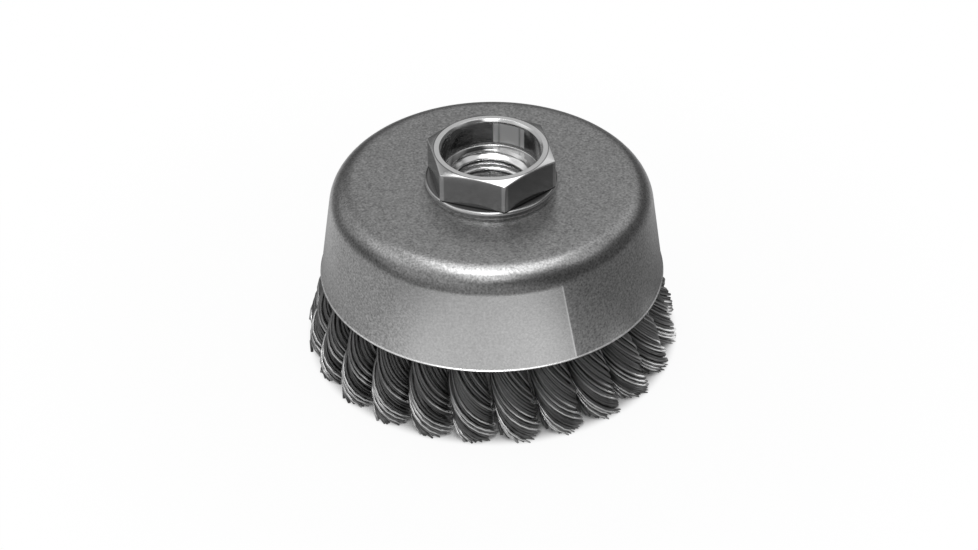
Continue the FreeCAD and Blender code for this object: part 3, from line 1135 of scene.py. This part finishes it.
    def loop_path(self, offset: tuple[float, float]) -> tuple[np.ndarray, np.ndarray]:
        """Route of one wire of the hairpin over the plate's web.

        Args:
            offset: How far it lies outside the middle of the bundle, across and along the web.

        Returns:
            Its points and, at each, a direction across it.
        """
        out, along = offset
        low = self.stack.ring_under - 0.1 * MM
        high = self.stack.ring_top + 0.05 * MM
        reach = self.hole_spread + out
        bend = np.linspace(math.pi, 0, 11)
        x = np.concatenate([[-reach], reach * np.cos(bend), [reach]])
        z = np.concatenate([[low], high + reach * np.sin(bend), [low]])
        points = np.stack([self.hole_circle + x, np.full_like(x, along), z], axis=1)
        outward = np.tile(np.array([[0.0, 1.0, 0.0]]), (len(x), 1))
        return points, outward

    def core(self) -> np.ndarray:
        """Closed dark heart of the knot, just inside its wires.

        Returns:
            Its points, ring by ring.
        """
        height = np.linspace(self.core_top, self.core_end, self.core_rows)
        centre, depth, width, lean, twist = self.section(height)
        angle = np.array(around(self.core_sides))
        groove = 1 - self.leg_groove * np.exp(-(np.sin(angle) / self.groove_width) ** 2)
        turned = angle[None] + twist[:, None]
        x = centre[:, None] + (depth - self.core_inset)[:, None] * groove * np.cos(turned)
        y = (width - self.core_inset)[:, None] * groove * np.sin(turned)
        return np.stack([*leaned(x, y, lean[:, None]), np.broadcast_to(height[:, None], x.shape)], axis=2)

    def mesh(self, index: int) -> bpy.types.Mesh:
        """All the wires of one knot as one mesh, turned to the knot's place in the ring.

        Args:
            index: Number of the knot, from 0.

        Returns:
            The mesh, with a tone for each wire.
        """
        dice = random.Random(self.seed + index)
        tubes = [self.core()]
        tones = [self.core_tone]
        first_run = dice.randrange(self.proud_every)
        for ring in self.rings:
            for i in range(ring.count):
                turn = 2 * math.pi * (i + dice.uniform(-self.spacing_play, self.spacing_play)) / ring.count
                end = self.cut_end + self.cut_play * dice.random() ** 2
                proud = ring is self.rings[0] and (i + first_run) % self.proud_every in self.proud_places
                sunk = 0 if proud else dice.uniform(*self.sunk)
                points, outward = self.wire_path(ring, turn, sunk, end, dice)
                tube = self.tube(points, outward, self.wire)
                tube[-1, :, 2] = end
                tubes.append(tube)
                # Painted light and shade: proud wires get a light tone, sunk wires a dark one.
                tones.append(dice.uniform(*(self.proud_lit_tone if proud else self.sunk_shade_tone)))
        for angle in around(self.web_wires):
            reach = self.leg_radius - self.wire
            points, outward = self.loop_path((reach * math.cos(angle), reach * math.sin(angle)))
            tubes.append(self.tube(points, outward, self.wire))
            tones.append(dice.uniform(*self.web_tone))
        direction = self.first_direction + 2 * math.pi * index / self.count
        return tubes_mesh(f"knot_wires_{index + 1:02d}", tubes, tones, direction)

    def build(self) -> None:
        """Makes the whole ring of knots."""
        material = DarkWire().material()
        for index in range(self.count):
            number = f"{index + 1:02d}"
            placed_piece(f"wires_{number}", self.mesh(index), material, Slot.WIRE, f"knot_{number}")


def tubes_mesh(name: str, tubes: Sequence[np.ndarray], tones: Sequence[float],
               direction: float) -> bpy.types.Mesh:
    """Joins tubes with closed ends into one mesh, turned about the Z axis.

    Args:
        name: Name of the mesh.
        tubes: Each an array of rings of points.
        tones: Tone of each tube, kept as an attribute of its points.
        direction: Angle of the turn, in radians.

    Returns:
        The mesh.
    """
    points = []
    faces = []
    tone_of_point = []
    start = 0
    for tube, tone in zip(tubes, tones):
        rings, sides = tube.shape[:2]
        points.append(tube.reshape(-1, 3))
        tone_of_point.append(np.full(rings * sides, tone, np.float32))
        for ring in range(rings - 1):
            low = start + ring * sides
            for side in range(sides):
                other = (side + 1) % sides
                faces.append((low + side, low + other, low + sides + other, low + sides + side))
        faces.append(tuple(range(start + sides - 1, start - 1, -1)))
        faces.append(tuple(range(start + (rings - 1) * sides, start + rings * sides)))
        start += rings * sides
    turn = np.array(Matrix.Rotation(direction, 3, "Z"))
    data = bpy.data.meshes.new(name)
    data.from_pydata((np.concatenate(points) @ turn.T).tolist(), [], faces)
    tone_layer = data.attributes.new(DarkWire.tone, "FLOAT", "POINT")
    tone_layer.data.foreach_set("value", np.concatenate(tone_of_point))
    data.polygons.foreach_set("use_smooth", [len(face) == 4 for face in faces])
    mesh = bmesh.new()
    mesh.from_mesh(data)
    bmesh.ops.recalc_face_normals(mesh, faces=mesh.faces)
    mesh.to_mesh(data)
    mesh.free()
    return data


@dataclass(frozen=True)
class Glow:
    """Soft bright patch that the metal sees, reaching so many degrees on a wall or metres on the floor."""

    centre: Corner
    inner: float
    outer: float
    level: float


@dataclass(frozen=True)
class Lamp:
    """Rectangular soft light over the brush. A radiance of 1 is white."""

    name: str
    place: Corner
    size: tuple[float, float]
    radiance: float


@dataclass
class Studio:
    """Pale floor, soft overhead light and the camera at the photograph's angle."""

    elevation: float = math.radians(36.3)
    roll: float = math.radians(-0.471)
    distance: float = 660 * MM
    target: Corner = (-0.571 * MM, 0.0, 13.31 * MM)
    focal_px: float = 3404.0
    image_width_px: float = 978.0
    sensor: float = 36.0
    middle: Corner = (0.0, 0.0, 0.02)
    lamps: tuple[Lamp, ...] = (
        Lamp("overhead", (0.0, 0.03, 0.57), (0.42, 0.46), 1.6),
        Lamp("key", (-0.03, -0.10, 0.55), (0.12, 0.12), 5.5),
    )
    floor_size: float = 12.0
    floor_grey: float = 0.10
    wall_grey: float = 0.08
    matt_light: float = 0.7
    paper: tuple[float, ...] = (0.86, 0.86, 0.86, 1)
    contact: tuple[float, float] = (0.0335, 0.0365)
    shadow: tuple[float, float] = (0.06, 0.11)
    shadow_depth: float = 0.08
    pool_gap: tuple[float, float] = (0.042, 0.066)
    pool_depth: float = 0.55
    glossy_share: float = 0.85
    brightest_floor: float = 2.0
    wall_glows: tuple[Glow, ...] = (
        Glow((0.08, 0.80, 0.59), 10, 30, 0.37),
        Glow((-0.62, -0.48, 0.62), 18, 44, 0.34),
        Glow((0.0, -1.0, 0.0), 5, 42, 0.25),
        Glow((0.0, -0.53, 0.85), 8, 14, 1.35),
        Glow((-0.60, 0.05, 0.80), 8, 24, 0.45),
        Glow((0.56, 0.03, 0.83), 8, 20, 0.48),
        Glow((0.54, 0.56, 0.63), 8, 20, 0.42),
        Glow((-0.72, 0.47, 0.51), 12, 34, 0.32),
    )
    floor_glows: tuple[Glow, ...] = (
        Glow((-0.004, -0.085, 0.0), 0.036, 0.095, 0.70),
        Glow((-0.085, -0.01, 0.0), 0.025, 0.090, 0.35),
        Glow((0.043, -0.022, 0.0), 0.006, 0.013, 2.1),
        Glow((0.042, -0.002, 0.0), 0.006, 0.012, 1.8),
        Glow((0.06, 0.08, 0.0), 0.020, 0.070, 0.35),
        Glow((-0.05, 0.08, 0.0), 0.020, 0.080, 0.45),
    )

    def camera(self) -> None:
        """Makes the scene's camera."""
        data = bpy.data.cameras.new("camera")
        data.sensor_width = self.sensor
        data.lens = self.focal_px * self.sensor / self.image_width_px
        data.clip_start = 0.01
        camera = bpy.data.objects.new("camera", data)
        bpy.context.scene.collection.objects.link(camera)
        back = Vector((0, -math.cos(self.elevation), math.sin(self.elevation)))
        level = Vector((1, 0, 0))
        up = back.cross(level)
        right = level * math.cos(self.roll) + up * math.sin(self.roll)
        upward = up * math.cos(self.roll) - level * math.sin(self.roll)
        turn = Matrix((right, upward, back)).transposed().to_4x4()
        camera.matrix_world = Matrix.Translation(Vector(self.target) + back * self.distance) @ turn
        bpy.context.scene.camera = camera

    def light(self, lamp: Lamp) -> None:
        """Makes one light, facing the middle of the brush.

        Args:
            lamp: Its name, place, size and brightness.
        """
        data = bpy.data.lights.new(lamp.name, "AREA")
        data.shape = "RECTANGLE"
        data.size, data.size_y = lamp.size
        data.energy = lamp.radiance * math.pi * lamp.size[0] * lamp.size[1]
        light = bpy.data.objects.new(lamp.name, data)
        light.location = lamp.place
        away = Vector(lamp.place) - Vector(self.middle)
        light.rotation_euler = away.to_track_quat("Z", "Y").to_euler()
        bpy.context.scene.collection.objects.link(light)

    def ray(self, graph: Graph, kind: str) -> Value:
        """1 for rays of that kind, such as "Is Glossy Ray"."""
        return Value(graph, graph.add("ShaderNodeLightPath", {}, {}, kind))

    def seen_directly(self, graph: Graph) -> Value:
        """1 for a ray from the camera, straight or through something clear."""
        return (self.ray(graph, "Is Camera Ray") + self.ray(graph, "Is Transmission Ray")).clamped()

    def floor(self) -> None:
        """Makes the pale floor: white to the camera apart from the shadow, pools of light to the metal."""
        bpy.ops.mesh.primitive_plane_add(size=self.floor_size)
        plane = bpy.context.object
        plane.name = "floor"
        made = bpy.data.materials.new("pale_floor")
        made.use_nodes = True
        graph = Graph(made.node_tree)
        place = graph.place()
        from_axis = graph.measured("DISTANCE", place)
        pool = self.floor_grey
        for glow in self.floor_glows:
            reach = graph.measured("DISTANCE", place, glow.centre)
            pool = pool + reach.step(glow.outer, glow.inner) * glow.level
        pool = pool * (1 - self.pool_depth + from_axis.step(*self.pool_gap) * self.pool_depth)
        matt = graph.add("ShaderNodeBsdfDiffuse", {}, {"Color": self.paper})
        seen = self.seen_directly(graph)
        glossy = self.ray(graph, "Is Glossy Ray")
        shown = graph.grey((seen + glossy * pool) * (1 / self.brightest_floor))
        light = graph.add("ShaderNodeEmission", {}, {"Color": shown, "Strength": self.brightest_floor})
        open_floor = 1 - self.shadow_depth + from_axis.step(*self.shadow) * self.shadow_depth
        share = seen * from_axis.step(*self.contact) * open_floor + glossy * self.glossy_share
        lit = graph.add("ShaderNodeMixShader", {}, {0: share, 1: matt, 2: light})
        graph.add("ShaderNodeOutputMaterial", {}, {"Surface": lit})
        plane.data.materials.append(made)

    def world(self) -> None:
        """White to the camera, plain light to matt surfaces, and a studio's soft walls to the metal."""
        world = bpy.data.worlds.new("studio")
        bpy.context.scene.world = world
        world.use_nodes = True
        graph = Graph(world.node_tree)
        direction = graph.add("ShaderNodeTexCoord", {}, {}, "Generated")
        walls = self.wall_grey
        for glow in self.wall_glows:
            toward = graph.measured("DOT_PRODUCT", direction, tuple(Vector(glow.centre).normalized()))
            outer, inner = (math.cos(math.radians(reach)) for reach in (glow.outer, glow.inner))
            walls = walls + toward.step(outer, inner) * glow.level
        seen = self.seen_directly(graph)
        glossy = self.ray(graph, "Is Glossy Ray")
        matt = 1 - glossy - seen
        strength = seen + glossy * walls + matt.clamped() * self.matt_light
        sky = graph.add("ShaderNodeBackground", {}, {"Color": (1, 1, 1, 1), "Strength": strength})
        graph.add("ShaderNodeOutputWorld", {}, {"Surface": sky})

    def build(self) -> None:
        """Sets up the whole studio."""
        self.camera()
        self.floor()
        self.world()
        for lamp in self.lamps:
            self.light(lamp)
        bpy.context.scene.view_settings.view_transform = "Standard"


def main() -> None:
    """Builds the studio and the brush."""
    logging.basicConfig(level=logging.INFO, format="%(message)s")
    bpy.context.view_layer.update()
    Studio().build()
    stack = Stack()
    cup = Cup(stack)
    for part in (cup, ArborNut(stack), KnotPlate(stack, cup), Retainer(stack), Knot(stack, cup)):
        part.build()


if __name__ == "__main__":
    main()
